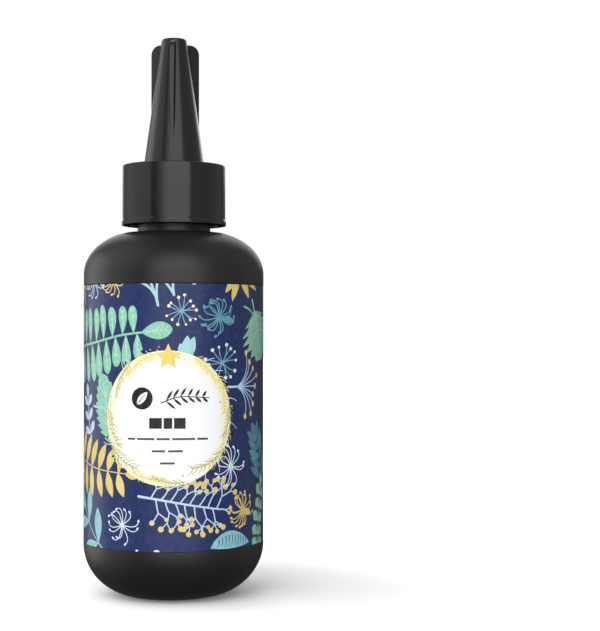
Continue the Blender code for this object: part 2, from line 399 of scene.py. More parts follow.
class Nodes(Graph):
    """A material's node tree."""

    def __init__(self, name):
        self.material = bpy.data.materials.new(name)
        self.material.use_nodes = True
        super().__init__(self.material.node_tree)
        self.shader = self.tree.nodes["Principled BSDF"]
        coordinates = self.add("TexCoord")
        self.place = coordinates.outputs["Object"]
        self.flat = coordinates.outputs["UV"]

    def noise(self, scale, detail=3.0, roughness=0.5, stretch=None):
        """Cloudy noise, its scale in clouds a metre."""
        place = self.place
        if stretch:
            place = self.add("Mapping", {"Vector": place, "Scale": stretch}).outputs["Vector"]
        inputs = {"Vector": place, "Scale": scale, "Detail": detail, "Roughness": roughness}
        return self.add("TexNoise", inputs).outputs["Fac"]

    def cloudy(self, texture, first, second):
        """A colour that wanders between two with a texture."""
        return self.mix(self.spread(texture, 0.0, 1.0), first, second)

    def bump(self, height, distance, under=None):
        """A surface relief of the given depth in metres, over another one."""
        inputs = {"Height": height, "Distance": distance}
        if under:
            inputs["Normal"] = under
        return self.add("Bump", inputs).outputs["Normal"]

    def set(self, **values):
        """Principled inputs by name with underscores for spaces, each a value or a socket."""
        for name, value in values.items():
            self.feed(self.shader.inputs[name.replace("_", " ")], value)


def black_plastic(name, tone, rough_low, rough_high, grain, wave, foot=None):
    """Moulded black plastic: uneven satin gloss, fine skin texture, paler worn edges, and painted shade in
    creases, where the reflection is dimmed.

    Its flat underside is dull, at the height foot in metres: painted shade, its reflection taken away.
    """
    nodes = Nodes(name)
    cloud = nodes.noise(90.0, 4.0)
    dark = linear(tone - 2, tone - 2, tone - 2)
    light = linear(tone + 2, tone + 2, tone + 3)
    worn = linear(tone + 34, tone + 34, tone + 36)
    edge = nodes.add("NewGeometry").outputs["Pointiness"]
    colour = nodes.mix(nodes.spread(edge, 0.0, 0.5, *WORN_EDGE), nodes.cloudy(cloud, dark, light), worn)
    waves = nodes.bump(nodes.noise(70.0, 1.0), wave)
    relief = nodes.bump(nodes.noise(5200.0, 2.0), grain, under=waves)
    # Painted shade: the reflection is dimmed in creases, where the edge sensor reads low.
    gloss_and_painted_shade = nodes.spread(edge, CREASE_SHADE_GLOSS, PLASTIC_GLOSS, *CREASE_SHADE_RANGE)
    if foot:
        # Painted shade: no reflection on the flat underside at the foot's height.
        height = nodes.add("SeparateXYZ", {"Vector": nodes.place}).outputs["Z"]
        above = nodes.spread(height, 0.0, 1.0, *[foot + fade for fade in UNDERSIDE_SHADE_FADE])
        gloss_and_painted_shade = nodes.math("MULTIPLY", gloss_and_painted_shade, above)
    nodes.set(Base_Color=colour, Normal=relief, Roughness=nodes.spread(cloud, rough_low, rough_high),
              Specular_IOR_Level=gloss_and_painted_shade)
    return nodes.material


def film_finish(nodes):
    """The printed film's satin laminate, the same over every ink."""
    waves = nodes.bump(nodes.noise(45.0, 1.0), 0.00010)
    relief = nodes.bump(nodes.noise(3800.0, 2.0), 0.000003, under=waves)
    nodes.set(Roughness=nodes.spread(nodes.noise(160.0), 0.26, 0.31), Normal=relief,
              Specular_IOR_Level=FILM_GLOSS)


def ink(name, colour, depth):
    """A printed colour with the mottle of a painted original, of a given depth."""
    nodes = Nodes("ink_" + name)
    base = linear(*colour)
    pale = tuple(c + (1.0 - c) * depth for c in base)
    deep = tuple(c * (1.0 - depth) for c in base)
    mottle = nodes.spread(nodes.noise(900.0, 5.0, 0.65), 0.0, 1.0, 0.35, 0.65)
    nodes.set(Base_Color=nodes.mix(mottle, deep, pale))
    film_finish(nodes)
    return nodes.material


def disc_ink():
    """White disc that warms to cream in patches towards its rim."""
    nodes = Nodes("ink_disc")
    edge = MEDAL_R / (2 * pi * LABEL_R)
    away = nodes.distance(nodes.flat, (*sheet_uv(*MEDAL), 0.0))
    rim = nodes.spread(away, 0.0, 1.0, edge * 0.80, edge * 0.99)
    patches = nodes.spread(nodes.noise(150.0, 2.0), 0.1, 1.0, 0.36, 0.60)
    share = nodes.math("MULTIPLY", rim, patches)
    nodes.set(Base_Color=nodes.mix(share, linear(246, 246, 246), linear(244, 236, 168)))
    film_finish(nodes)
    return nodes.material


def natural_plastic():
    """Milky unfilled plastic of the spout."""
    nodes = Nodes("natural_plastic")
    cloud = nodes.noise(220.0, 3.0)
    nodes.set(Base_Color=nodes.cloudy(cloud, linear(214, 220, 222), linear(228, 232, 232)),
              Roughness=nodes.spread(cloud, 0.28, 0.38),
              Normal=nodes.bump(nodes.noise(4200.0, 2.0), 0.000004),
              Subsurface_Weight=0.35, Subsurface_Scale=0.002)
    return nodes.material


def liquid():
    """Clear resin with a faint cool tint and slow streaks."""
    nodes = Nodes("liquid_resin")
    streak = nodes.noise(120.0, 2.0, stretch=(1.0, 1.0, 0.3))
    nodes.set(Base_Color=nodes.cloudy(streak, linear(222, 228, 234), linear(236, 240, 240)),
              Roughness=nodes.spread(streak, 0.03, 0.07), Transmission_Weight=0.85, IOR=1.5)
    return nodes.material


def foil():
    """Embossed sealing foil."""
    nodes = Nodes("seal_foil")
    dimples = nodes.noise(1500.0, 1.0)
    nodes.set(Base_Color=nodes.cloudy(dimples, linear(196, 198, 200), linear(226, 226, 226)),
              Metallic=1.0, Roughness=nodes.spread(nodes.noise(300.0), 0.22, 0.36),
              Normal=nodes.bump(dimples, 0.00004))
    return nodes.material


def soft_material(name, colour, pore_scale, depth, roughness):
    """Foam or soft rubber with open pores."""
    nodes = Nodes(name)
    pores = nodes.noise(pore_scale, 4.0, 0.7)
    base = linear(*colour)
    deep = tuple(c * 0.8 for c in base)
    nodes.set(Base_Color=nodes.cloudy(pores, deep, base), Roughness=roughness,
              Normal=nodes.bump(pores, depth))
    return nodes.material


# ---------------------------------------------------------------- shell and closure

def shell_relief(angle, r, z):
    """The raised line where the two mould halves met, at the left and right sides."""
    panel_r = BODY_R - PANEL_DEPTH
    if r < panel_r + 0.02 and z < SHOULDER_Z and z > HEEL_H:
        return 0.0
    outside = r > NECK_R - 0.3 and PARTING_LOW < z < SHOULDER_Z + SHOULDER_H
    distance = r * sin(angle)
    return PARTING_H * exp(-(distance / PARTING_W) ** 2) if outside else 0.0


def make_shell(material):
    """The blown bottle, inside and out, with its parting line and neck thread."""
    panel_r = BODY_R - PANEL_DEPTH
    inner_r = BODY_R - RECESS - WALL
    floor_z = PUSH_UP_H + WALL
    neck_foot = SHOULDER_Z + SHOULDER_H - SHOULDER_DIP
    neck_end = NECK_TOP - NECK_ROUND
    cavity = [(0.0, floor_z)]
    cavity += arc(STAND_R, HEEL_H, inner_r - STAND_R, HEEL_H - floor_z, -90.0, 0.0, 14)
    cavity += arc(BORE_R, SHOULDER_Z, inner_r - BORE_R, SHOULDER_H - WALL, 0.0, 80.0, 14)
    cavity += [(BORE_R, SHOULDER_Z + SHOULDER_H), (BORE_R, neck_end)]
    cavity += arc(BORE_R + NECK_ROUND, neck_end, NECK_ROUND, NECK_ROUND, 180.0, 90.0, 4)
    neck = arc(NECK_ROOT_R - NECK_ROUND, neck_end, NECK_ROUND, NECK_ROUND, 90.0, 0.0, 4)
    neck += rounded([
        (NECK_ROOT_R, THREAD_FOOT, 0.0),
        (NECK_ROOT_R, COLLAR_LOW + 1.0, 0.3),
        (NECK_R, COLLAR_LOW + 0.6, 0.3),
        (NECK_R, neck_foot + 0.12, 0.0),
        (NECK_R, neck_foot, 0.0),
    ])
    shoulder = []
    for r, z in arc(SHOULDER_R, SHOULDER_Z, BODY_R - SHOULDER_R, SHOULDER_H, 86.0, 0.0, 46):
        shoulder.append((r, z - SHOULDER_DIP * exp(-((r - NECK_R) / DIP_REACH) ** 2)))
    panel = rounded([
        (BODY_R, LABEL_TOP + 1.2, 0.0),
        (BODY_R, LABEL_TOP + 0.2, PANEL_ROUND),
        (panel_r, LABEL_TOP + 0.08, PANEL_ROUND / 2),
        (panel_r, LABEL_TOP - 1.0, 0.0),
        (panel_r, LABEL_LOW + 1.0, 0.0),
        (panel_r, LABEL_LOW - 0.08, PANEL_ROUND / 2),
        (BODY_R, LABEL_LOW - 0.2, PANEL_ROUND),
        (BODY_R, HEEL_H + 0.02, 0.0),
    ])
    heel = arc(STAND_R, HEEL_H, BODY_R - STAND_R, HEEL_H, 0.0, -90.0, 44)
    base = rounded([
        (STAND_R - 0.2, 0.0, 0.0),
        (PUSH_UP_R + 0.9, 0.0, 0.5),
        (PUSH_UP_R, PUSH_UP_H * 0.7, 0.6),
        (0.0, PUSH_UP_H, 0.0),
    ])
    angles = ring_angles(288, [side + step for side in (0, 180) for step in PARTING_STEPS])
    shell = lathe("bottle_shell", cavity + neck + shoulder + panel + heel[1:] + base, angles, shell_relief)
    unite(shell, helix_bead("neck_thread", NECK_HELIX_R, NECK_ROOT_R - THREAD_SINK, THREAD_LOW,
                            NECK_TURNS, NECK_BEAD))
    dress(shell, material)
    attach(shell, "bottle_body")
    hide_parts("bottle")


def make_collar(material):
    """The smooth screw ring, with a band at its foot and the thread inside."""
    lip = COLLAR_TOP - LIP_T
    band_top = COLLAR_LOW + COLLAR_BAND_H
    profile = rounded([
        (LIP_HOLE_R, COLLAR_TOP - 0.15, 0.0),
        (LIP_HOLE_R + 0.15, COLLAR_TOP, 0.1),
        (COLLAR_R, COLLAR_TOP, 0.35),
        (COLLAR_R, 98.0, 0.0),
        (COLLAR_R, band_top + 0.30, 0.22),
        (COLLAR_FOOT_R, band_top - 0.15, 0.35),
        (COLLAR_FOOT_R, COLLAR_LOW, 0.12),
        (COLLAR_ROOT_R, COLLAR_LOW, 0.25),
        (COLLAR_ROOT_R, lip, 0.2),
        (LIP_HOLE_R, lip, 0.0),
    ], 6)
    collar = lathe("collar", profile, ring_angles(256), closed=True)
    unite(collar, helix_bead("collar_thread", COLLAR_HELIX_R, COLLAR_ROOT_R + THREAD_SINK,
                             THREAD_LOW + PITCH / 2, COLLAR_TURNS, COLLAR_BEAD))
    dress(collar, material)
    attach(collar, "collar_body")
    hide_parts("collar_ring")


def cap_radius(height):
    """Outer radius of the over-cap's plain cone."""
    share = (height - CAP_LOW) / (CAP_TOP - CAP_LOW)
    return CAP_BASE_R + (CAP_TIP_R - CAP_BASE_R) * share


def soft_max(first, second, blend):
    """The larger of two, with the corner between them rounded."""
    near = max(blend - abs(first - second), 0.0) / blend
    return max(first, second) + near * near * blend / 4


def fin_reach(height):
    """How far out a fin reaches at a height."""
    corner = FIN_TOP - FIN_CORNER
    if height > FIN_TOP:
        return 0.0
    if height < corner:
        return FIN_R
    return FIN_R - FIN_CORNER + sqrt(max(0.0, FIN_CORNER ** 2 - (height - corner) ** 2))


def fin_radius(angle, height):
    """Distance from the axis to the fins' surface in one direction."""
    reach = fin_reach(height)
    if reach == 0.0:
        return 0.0
    best = 0.0
    for i in range(FIN_COUNT):
        turn = angle - FIN_TURN - 2 * pi * i / FIN_COUNT
        turn = (turn + pi) % (2 * pi) - pi
        if abs(turn) < pi / 3:
            side = FIN_T / 2 / max(abs(sin(turn)), 1e-6)
            end = reach / cos(turn)
            best = max(best, -soft_max(-side, -end, FIN_EDGE))
    return best


def fin_gap(angle, r):
    """How far a place on the cone is from the nearest fin's flank, along the surface."""
    share = 2 * pi / FIN_COUNT
    turn = (angle - FIN_TURN + share / 2) % share - share / 2
    return abs(turn) * r - FIN_T / 2


def cap_relief(angle, r, z):
    """What the fins add to the cone's radius, less the crease beside each."""
    if z < FIN_LOW:
        return 0.0
    fins = fin_radius(angle, z)
    added = soft_max(r, fins, FIN_ROOT) - r if fins > r - FIN_ROOT else 0.0
    gap = fin_gap(angle, r)
    proud = min(1.0, max(0.0, fin_reach(z) - r))
    crease = CREASE_DEPTH * proud * exp(-(gap / CREASE_WIDTH) ** 2) if gap > 0 else 0.0
    return added - crease


def make_cap(material):
    """The tall over-cap: a hollow cone with three filleted grip fins and a dimple in its tip."""
    heights = [CAP_LOW + CAP_RIM + 0.5 * i for i in range(56)]
    heights += [FIN_TOP - FIN_CORNER * (1 - sin(radians(a))) for a in range(6, 90, 7)]
    heights += [FIN_TOP - 0.004, FIN_TOP + 0.03, FIN_TOP + 0.05]
    outer = [(0.0, CAP_TOP - 0.18), (0.45, CAP_TOP - 0.18), (0.6, CAP_TOP - 0.02), (0.75, CAP_TOP)]
    bend_r = CAP_TIP_ROUND
    outer += arc(CAP_TIP_R - bend_r, CAP_TOP - bend_r, bend_r, bend_r, 90.0, 8.0, 6)
    outer += [(cap_radius(z), z) for z in sorted(heights, reverse=True)]
    crown = CAP_TOP - CAP_CROWN
    inner = [
        (CAP_BASE_R - 0.12, CAP_LOW),
        (CAP_BASE_R - CAP_WALL + 0.12, CAP_LOW),
        (cap_radius(CAP_LOW + CAP_RIM) - CAP_WALL, CAP_LOW + CAP_RIM),
        (cap_radius(crown - 0.3) - CAP_WALL, crown - 0.3),
        (cap_radius(crown) - CAP_WALL - 0.3, crown),
        (0.0, crown),
    ]

    def relief(angle, r, z):
        return 0.0 if (r, z) in inner else cap_relief(angle, r, z)

    turns = [degrees(FIN_TURN) + 360 / FIN_COUNT * i for i in range(FIN_COUNT)]
    extra = [turn + side * step for turn in turns for side in (-1, 1) for step in FIN_STEPS]
    cap = lathe("cap", outer + inner, ring_angles(3, [turns[0] + 60, *extra]), relief, sharp=40.0)
    dress(cap, material)
    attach(cap, "cap_body")
    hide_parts("overcap")


def make_nozzle(material):
    """The spout: a flange under the collar's lip, a seat for the over-cap and a long taper."""
    def taper(height):
        return cap_radius(height) - CAP_WALL - TAPER_GAP

    seat = CAP_LOW - TAPER_GAP
    flange_top = FLANGE_LOW + FLANGE_T
    bore_low = taper(CAP_LOW) - SPOUT_WALL
    bore_high_z = SPOUT_TIP - 4.0
    profile = rounded([
        (ORIFICE_R, SPOUT_TIP - 0.1, 0.0),
        (ORIFICE_R + 0.1, SPOUT_TIP, 0.08),
        (taper(SPOUT_TIP) - 0.3, SPOUT_TIP, 0.3),
        (taper(SPOUT_TIP - 0.6), SPOUT_TIP - 0.6, 0.3),
        (taper(118.0), 118.0, 0.0),
        (taper(seat + 0.8), seat + 0.8, 0.3),
        (taper(seat + 0.8) + 0.25, seat, 0.1),
        (SEAT_R, seat, 0.25),
        (SEAT_R, flange_top, 0.1),
        (FLANGE_R, flange_top, 0.2),
        (FLANGE_R, FLANGE_LOW, 0.2),
        (bore_low + 0.6, FLANGE_LOW, 0.3),
        (bore_low, CAP_LOW, 0.4),
        (taper(bore_high_z) - SPOUT_WALL, bore_high_z, 0.6),
        (ORIFICE_R, SPOUT_TIP - 2.4, 0.6),
        (ORIFICE_R, SPOUT_TIP - 1.0, 0.0),
    ])
    nozzle = lathe("nozzle", profile, ring_angles(160), closed=True)
    dress(nozzle, material)
    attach(nozzle, "spout_body")
    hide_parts("spout")


def dress_node(node, material):
    """Gives a CAD node that is shown as it is its own material."""
    dress(frame["nodes"][node], material)


# ---------------------------------------------------------------- label art

def sheet_uv(u, z):
    """A place on the label as texture coordinates, the same scale both ways."""
    around = 2 * pi * LABEL_R
    return 0.5 + u / around, z / around


def turned_by(vector, angle):
    """A vector turned anticlockwise, by an angle in degrees."""
    turn = radians(angle)
    return Vector((vector.x * cos(turn) - vector.y * sin(turn),
                   vector.x * sin(turn) + vector.y * cos(turn)))


def heading(angle):
    """The direction at an angle, in degrees, from +u."""
    return turned_by(Vector((1.0, 0.0)), angle)


def bearing(way):
    """A direction's angle to +u, in degrees."""
    return degrees(atan2(way.y, way.x))


def axes(base, tip):
    """A base point, the way from it to a tip, and the unit direction across that."""
    base = Vector(base)
    along = Vector(tip) - base
    return base, along, Vector((-along.y, along.x)).normalized()


def bend(start, end, sag, steps=5):
    """Points on a curve from start to end that bulges sideways by a share of its length."""
    start = Vector(start)
    along = Vector(end) - start
    across = Vector((-along.y, along.x))
    points = []
    for i in range(steps + 1):
        t = i / steps
        points.append(start + along * t + across * (sag * 4 * t * (1 - t)))
    return points


def smooth_line(knots):
    """A smooth curve through a few points."""
    steps = 6
    knots = [Vector(knot) for knot in knots]
    ends = [knots[0] * 2 - knots[1], *knots, knots[-1] * 2 - knots[-2]]
    points = []
    for a, b, c, d in zip(ends, ends[1:], ends[2:], ends[3:]):
        for i in range(steps):
            t = i / steps
            points.append(0.5 * (2 * b + (c - a) * t + (2 * a - 5 * b + 4 * c - d) * t ** 2
                                 + (3 * b - a - 3 * c + d) * t ** 3))
    return [*points, knots[-1]]


def line_end(points):
    """A line's last point and its direction there."""
    return points[-1], (points[-1] - points[-2]).normalized()


def along_line(points, share):
    """Point and direction at a share of a line's length."""
    lengths = [(b - a).length for a, b in zip(points, points[1:])]
    goal = share * sum(lengths)
    for a, b, length in zip(points, points[1:], lengths):
        if goal <= length:
            return a.lerp(b, goal / length), (b - a).normalized()
        goal -= length
    return line_end(points)


class Art:
    """Flat shapes in the order they are printed, each an ink and a loop of (u, z) points."""

    def __init__(self, seed):
        self.shapes = []
        self.random = random.Random(seed)

    def vary(self, low, high):
        """A random number between two."""
        return self.random.uniform(low, high)

    def paint(self, colour, loop):
        """A shape of one ink."""
        self.shapes.append((colour, [tuple(point) for point in loop]))

    def disc(self, colour, centre, radius, sides=14, tall=1.0):
        """A round shape, or an oval one that is tall times as high as it is wide."""
        loop = []
        for i in range(sides):
            angle = 2 * pi * i / sides
            loop.append((centre[0] + radius * cos(angle), centre[1] + tall * radius * sin(angle)))
        self.paint(colour, loop)

    def stroke(self, colour, points, start, end=None):
        """A line of changing width with softened ends."""
        end = start if end is None else end
        points = [Vector(point) for point in points]
        left = []
        right = []
        last = len(points) - 1
        for i, point in enumerate(points):
            along = (points[min(i + 1, last)] - points[max(i - 1, 0)]).normalized()
            across = Vector((-along.y, along.x))
            half = (start + (end - start) * i / last) / 2
            left.append(point + across * half)
            right.append(point - across * half)
        first = (points[0] - points[1]).normalized() * start * 0.4
        final = (points[-1] - points[-2]).normalized() * end * 0.4
        loop = [points[0] + first, *right, points[-1] + final, *reversed(left)]
        self.paint(colour, loop)

    def leaf(self, colour, base, tip, width, full=1.0, lean=0.0, steps=9, blunt=0.85):
        """A leaf from base to tip.  full above 1 puts its widest part nearer the tip.

        A smaller blunt rounds the tip.
        """
        base, along, across = axes(base, tip)
        left = []
        right = []
        for i in range(1, steps):
            t = 0.5 - 0.5 * cos(pi * i / steps)
            half = width / 2 * sin(pi * t ** full) ** blunt
            middle = base + along * t + across * (lean * width * sin(pi * t))
            left.append(middle + across * half)
            right.append(middle - across * half)
        self.paint(colour, [base, *right, base + along, *reversed(left)])

    def veined_leaf(self, colour, vein, base, tip, width, full, lean, pairs, line, blunt=0.85):
        """A leaf with a midrib and side veins in a second ink."""
        self.leaf(colour, base, tip, width, full, lean, 11, blunt)
        base, along, across = axes(base, tip)

        def middle(t):
            return base + along * t + across * (lean * width * sin(pi * t))

        self.stroke(vein, [middle(t) for t in (0.12, 0.35, 0.6, 0.86)], line, line * 0.5)
        for i in range(pairs):
            t = 0.34 + 0.42 * i / max(pairs - 1, 1)
            reach = width * 0.3 * sin(pi * t ** full)
            for side in (-1, 1):
                end = middle(t + 0.13) + across * side * reach
                self.stroke(vein, [middle(t), end], line * 0.8, line * 0.4)


def fern(art, knots, pairs, length, width, tip_leaf):
    """Club-shaped leaflets on fixed headings either side of a curved stem, and one at its end."""
    line = smooth_line(knots)
    for i in range(pairs):
        share = (i + 0.35) / pairs
        for side, angle in enumerate((92.0, -86.0)):
            point, _ = along_line(line, min(1.0, share + 0.3 * side / pairs))
            size = length * (1.0 - 0.36 * share) * art.vary(0.94, 1.06)
            end = point + heading(angle + art.vary(-3.0, 3.0)) * size
            art.veined_leaf("mint", "mint_pale", point, end, width * art.vary(0.92, 1.1), 1.7,
                            art.vary(-0.08, 0.08), 3, 0.16, 0.5)
    point, ahead = line_end(line)
    art.veined_leaf("mint", "mint_pale", point, point + ahead * tip_leaf, tip_leaf * 0.56, 1.3, 0.0, 4,
                    0.16, 0.6)
    art.stroke("mint", line, 0.6, 0.5)


def palm(art, knots, pairs, length, width, colour="gold", light="straw", tilt=78.0):
    """Slender pointed leaflets in pairs, shorter towards the end."""
    line = smooth_line(knots)
    for i in range(pairs):
        share = (i + 0.4) / pairs
        point, ahead = along_line(line, share)
        size = length * (1.0 - 0.35 * share)
        for side in (-1, 1):
            wobble = art.vary(-4.0, 4.0)
            end = point + turned_by(ahead, side * (tilt - 18 * share) + wobble) * size
            shade_ink = light if (i + (side > 0)) % 3 == 0 else colour
            art.leaf(shade_ink, point, end, width, 0.95, side * 0.12)
    point, ahead = line_end(line)
    art.leaf(colour, point, point + ahead * length * 0.5, width, 0.9)
    art.stroke(light, line, 0.32, 0.22)


def curl(centre, way, length, hook):
    """A ray that leaves the centre straight and hooks over at its end."""
    points = []
    place = Vector(centre)
    way = way.normalized()
    steps = 9
    for i in range(steps + 1):
        points.append(place.copy())
        place = place + way * (length / steps)
        way = turned_by(way, hook * (i / steps) ** 2.2)
    return points


def spider(art, centre, radius, rays, colour, line, hook=62.0, knob=0.3, squash=1.0):
    """A flower of curled rays, each with a drop at its end."""
    for i in range(rays):
        angle = 360.0 * i / rays + art.vary(-8.0, 8.0)
        way = heading(angle)
        way.x *= squash
        side = 1 if sin(radians(angle + 40.0)) > 0 else -1
        length = radius * art.vary(0.86, 1.12)
        points = curl(centre, way, length, side * hook * art.vary(0.6, 1.2))
        art.stroke(colour, points, line, line * 0.75)
        ahead = (points[-1] - points[-3]).normalized()
        art.leaf(colour, points[-2], points[-1] + ahead * knob * 1.7, knob * 2.0, 1.3, 0.0, 6)
    art.disc(colour, centre, line * 1.5, 10)


def burst(art, centre, radius, rays, dots, dot, line=0.24):
    """Thin straight rays with a round dot at each end."""
    for i in range(rays):
        angle = 360.0 * i / rays + art.vary(-9.0, 9.0)
        end = Vector(centre) + heading(angle) * radius * art.vary(0.8, 1.1)
        art.stroke("teal_pale", bend(centre, end, art.vary(-0.1, 0.1), 4), line, line * 0.8)
        art.disc(dots, end, dot * art.vary(0.8, 1.15), 10)
    art.disc("teal_pale", centre, line * 2.2, 10)


def umbel(art, base, angle, length, stems, spread):
    """Arching stems that fan out from one point, with an upright oval bud on each."""
    base = Vector(base)
    way = heading(angle)
    for i in range(stems):
        share = i / (stems - 1) * 2 - 1
        size = length * art.vary(0.78, 1.08)
        end = base + turned_by(way, share * spread) * size
        art.stroke("blue", bend(base, end, -0.2 * share, 6), 0.26, 0.26)
        art.disc("gold", end, art.vary(0.48, 0.6), 12, 1.3)
    art.stroke("blue", [base - way * 3.0, base], 0.55, 0.5)


def twig(art, start, angle, length, depth, line):
    """A forking twig whose last forks end in berries."""
    end = Vector(start) + heading(angle) * length
    art.stroke("blue", bend(start, end, art.vary(-0.07, 0.07), 3), line, line * 0.85)
    if depth == 0:
        art.disc("gold", end, art.vary(0.45, 0.7), 12)
        return
    for side in (-1, 1):
        turn = side * art.vary(24.0, 46.0)
        twig(art, end, angle + turn, length * art.vary(0.62, 0.86), depth - 1, line * 0.86)


def berry_branch(art, knots, twigs, length):
    """A long stem with forked twigs of berries on both sides."""
    line = smooth_line(knots)
    for i in range(twigs):
        point, ahead = along_line(line, 0.16 + 0.8 * i / (twigs - 1))
        side = -1 if i % 2 else 1
        angle = bearing(ahead) + side * art.vary(58.0, 74.0)
        forks = 1 if i % 3 == 1 else 2
        twig(art, point, angle, length * art.vary(0.85, 1.15), forks, 0.36)
    twig(art, line[-1], bearing(ahead), length * 0.6, 1, 0.36)
    art.stroke("blue", line, 0.6, 0.4)


def serrated(art, base, tip, width, teeth, bite=0.2):
    """A broad leaf with a toothed edge, pale midrib and side veins, and a short stalk."""
    base, along, across = axes(base, tip)
    left = []
    right = []
    for i in range(1, teeth):
        t = i / teeth
        half = width / 2 * sin(pi * t ** 0.8) ** 0.75
        for side, points in ((1, left), (-1, right)):
            peak = base + along * (t + 0.45 / teeth) + across * side * half * 1.06
            notch = base + along * (t + 0.55 / teeth) + across * side * half * (1.0 - bite)
            points += [peak, notch]
    art.paint("mint", [base, *right, base + along, *reversed(left)])
    art.stroke("mint_pale", [base - along * 0.22, base, base + along * 0.86], 0.5, 0.2)
    for i in range(1, teeth - 2, 2):
        t = i / teeth
        half = width / 2 * sin(pi * (t + 0.12) ** 0.8) * 0.72
        start = base + along * (t - 0.04)
        for side in (-1, 1):
            end = base + along * (t + 0.13) + across * side * half
            art.stroke("mint_pale", [start, end], 0.24, 0.1)


def open_bud(art, base, tips):
    """Petals drawn as thick open outlines that meet at one point."""
    for tip, sag in tips:
        art.stroke("ice", bend(tip, base, sag, 7), 0.6, 0.54)


def fan_leaf(art, base, tip, width, stripes):
    """A half-round leaf crossed by curved stripes."""
    under = bend(base, tip, -0.05, 5)
    base, along, across = axes(base, tip)
    top = []
    for i in range(1, 14):
        t = i / 14
        top.append(base + along * t + across * width * sin(pi * t ** 0.9) ** 0.8)
    art.paint("teal_soft", [*under, *reversed(top)])
    for i in range(stripes):
        t = 0.16 + 0.7 * i / (stripes - 1)
        height = width * sin(pi * t ** 0.9) ** 0.8
        start = base + along * t
        end = start + across * height * 0.74 + along * 0.03
        art.stroke("teal_dark", bend(start, end, -0.12, 4), 0.14, 0.3)


def crown_leaf(art, base, height):
    """Three pointed lobes that rise from one foot."""
    for lean, size, width in ((-24.0, 0.72, 0.5), (2.0, 1.0, 0.52), (20.0, 1.02, 0.46)):
        way = turned_by(Vector((0.0, 1.0)), -lean)
        art.leaf("blue_soft", base, Vector(base) + way * height * size, height * width, 0.8)


def sprig(art, knots, pairs, length, width, colour, vein, full=1.2, tilt=46.0):
    """Opposite oval leaves up a thin stem."""
    line = smooth_line(knots)
    for i in range(pairs):
        point, ahead = along_line(line, (i + 0.5) / pairs)
        for side in (-1, 1):
            size = length * art.vary(0.88, 1.1)
            end = point + turned_by(ahead, side * tilt + art.vary(-5, 5)) * size
            art.veined_leaf(colour, vein, point, end, width, full, 0.0, 2, 0.12)
    point, ahead = line_end(line)
    art.veined_leaf(colour, vein, point, point + ahead * length, width, full, 0.0, 2, 0.12)
    art.stroke(colour, line, 0.36, 0.26)


def star(art, centre, radius):
    """A star of five points."""
    loop = []
    for i in range(10):
        size = radius if i % 2 == 0 else radius * 0.46
        angle = radians(90 + 36 * i)
        loop.append((centre[0] + size * cos(angle), centre[1] + size * sin(angle)))
    art.paint("star", loop)


def on_ring(angle, radius):
    """A place at an angle, in degrees, and distance from the disc's centre."""
    turn = radians(angle)
    return Vector((MEDAL[0] + radius * cos(turn), MEDAL[1] + radius * sin(turn)))


def fir_arc(art, start, end, radius, drift, needle, gap, leans, colour, line):
    """A twig inside the disc's rim that drifts inwards, its needles leaning one way or both."""
    steps = max(6, int(abs(end - start) / 3))
    spine = [on_ring(start + (end - start) * i / steps, radius - drift * (i / steps) ** 1.5)
             for i in range(steps + 1)]
    art.stroke(colour, spine, line * 0.9, line * 0.6)
    count = int(radians(abs(end - start)) * radius / gap)
    for i in range(count):
        point, ahead = along_line(spine, (i + 0.5) / count)
        for lean in leans:
            way = turned_by(ahead, lean + art.vary(-9.0, 9.0))
            size = needle * (1.0 - 0.4 * i / count) * art.vary(0.75, 1.12)
            art.stroke(colour, bend(point, point + way * size, 0.06, 2), line, line * 0.5)


# Twigs of the disc's wreath: from and to angle, radius, drift, needle, gap, leans, ink and line
WREATH = (
    (100, 134, 15.0, 1.2, 2.3, 0.8, (-34.0, 36.0), "straw", 0.24),
    (124, 160, 15.6, 1.5, 2.7, 0.9, (20.0, 48.0), "olive", 0.2),
    (172, 208, 15.5, 1.6, 3.4, 1.0, (26.0, 52.0), "olive", 0.24),
    (200, 238, 15.6, 1.9, 3.1, 0.9, (-28.0, 36.0), "moss", 0.2),
    (192, 164, 15.3, 0.6, 1.6, 0.9, (-30.0, 30.0), "straw", 0.18),
    (236, 268, 15.0, 0.9, 1.9, 0.7, (-40.0, 38.0), "straw", 0.24),
    (286, 256, 15.3, 1.2, 1.9, 0.8, (-34.0, 36.0), "moss", 0.18),
    (334, 296, 15.6, 2.6, 3.1, 0.95, (-30.0, 44.0), "olive", 0.24),
    (352, 324, 15.6, 1.2, 2.3, 0.9, (-30.0, 36.0), "straw", 0.2),
    (66, 36, 15.2, 0.8, 1.9, 0.65, (-42.0, 38.0), "lime", 0.24),
    (40, 4, 15.6, 1.6, 2.4, 0.8, (-36.0, 34.0), "lime", 0.22),
    (12, -18, 15.7, 1.4, 2.2, 0.8, (-34.0, 30.0), "moss", 0.18),
)


